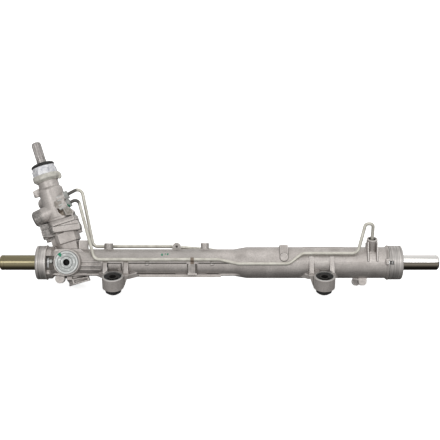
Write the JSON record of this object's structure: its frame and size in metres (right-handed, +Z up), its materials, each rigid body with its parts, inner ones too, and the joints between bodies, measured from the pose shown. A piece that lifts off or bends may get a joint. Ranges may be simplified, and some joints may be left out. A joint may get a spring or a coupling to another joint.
{
  "type": "steering rack",
  "caption": "Hydraulic power steering rack and pinion with cast housing, rotary valve tower, toothed bar with piston, rubber-bushed mounts and steel pipes.",
  "frame": {"origin": "midway between the two mounting bolts, on the plane where the lower ends of the mount sleeves are clamped", "axes": "+X along the rack, from the pinion end to the cylinder end; +Y from the mounting bolts toward the rack bar; +Z up along the mounting bolts"},
  "size_m": [0.788, 0.1901, 0.2377],
  "materials": {
    "casting": "die cast, light grit blast",
    "machined_aluminium": "turned",
    "rubber_black": "matte",
    "steel_dark": "phosphated",
    "steel_bright": "ground",
    "bronze": "satin",
    "bar_steel": "ground and polished",
    "ring_polymer": "smooth",
    "shaft_steel": "oiled",
    "zinc_yellow": "passivated zinc",
    "zinc_grey": "zinc plated",
    "cap_white": "pale zinc",
    "pipe_steel": "zinc plated tube"
  },
  "bodies": {
    "housing": {"rack_housing": "casting", "left_mount_bush": "rubber_black", "right_mount_bush": "rubber_black", "left_mount_sleeve": "steel_dark", "right_mount_sleeve": "steel_dark", "guide_spring": "steel_dark", "guide_plug": "machined_aluminium", "guide_plug_oring": "rubber_black", "left_end_bush": "steel_bright", "left_lock_wire": "steel_bright", "end_bush": "steel_bright", "end_bush_oring": "rubber_black", "right_lock_wire": "steel_bright", "outer_rack_seal": "rubber_black", "inner_rack_seal": "rubber_black", "bearing_outer_race": "steel_bright", "bottom_cap": "machined_aluminium", "pinion_bush": "bronze", "pinion_seal": "rubber_black", "valve_housing": "casting", "flange_oring": "rubber_black", "flange_bolts": "zinc_grey", "input_bearing": "steel_bright", "input_seal": "rubber_black", "collar_ring": "zinc_yellow", "valve_cap": "cap_white", "dust_seal": "rubber_black", "front_pipe": "pipe_steel", "rear_pipe": "pipe_steel", "valve_nuts": "zinc_grey", "right_port_nut": "steel_dark", "rear_port_nut": "zinc_grey", "pipe_clip": "steel_dark"},
    "rack": {"rack_bar": "bar_steel", "piston": "steel_bright", "piston_ring": "ring_polymer", "piston_clips": "steel_dark"},
    "guide": {"rack_guide": "machined_aluminium", "guide_liner": "bronze"},
    "pinion": {"pinion": "steel_bright", "pinion_nut": "zinc_yellow", "bearing_inner_race": "steel_bright", "valve_sleeve": "steel_bright", "sleeve_rings": "ring_polymer", "sleeve_pin": "steel_dark"},
    "bearing": {"bearing_cage": "bronze", "bearing_balls": "steel_bright"},
    "input": {"input_shaft": "shaft_steel", "torsion_bar": "steel_bright", "torsion_pin": "steel_dark"}
  },
  "joints": [
    {"name": "rack_slide", "type": "slide", "parent": "housing", "child": "rack", "axis": [1, 0, 0], "range_m": [-0.066, 0.066]},
    {"name": "pinion_spin", "type": "hinge", "parent": "housing", "child": "pinion", "pos_m": [-0.264, 0.06323, 0.02743], "axis": [-0.309, 0.4465, 0.8397], "range_deg": [-500, 500]},
    {"name": "bearing_cage_spin", "type": "hinge", "parent": "housing", "child": "bearing", "pos_m": [-0.264, 0.06323, 0.02743], "axis": [-0.309, 0.4465, 0.8397], "range_deg": [-184, 184]},
    {"name": "valve_twist", "type": "hinge", "parent": "pinion", "child": "input", "pos_m": [-0.264, 0.06323, 0.02743], "axis": [-0.309, 0.4465, 0.8397], "range_deg": [-5, 5], "stiffness_Nm_per_rad": 47},
    {"name": "guide_lift", "type": "slide", "parent": "housing", "child": "guide", "axis": [0, -0.8829, 0.4695], "range_m": [0, 0.00012], "stiffness_N_per_m": 15000}
  ],
  "couplings": [
    {"joint": "pinion_spin", "follows": "rack_slide", "rad_per_m": 132.18},
    {"joint": "bearing_cage_spin", "follows": "rack_slide", "rad_per_m": 48.367}
  ]
}
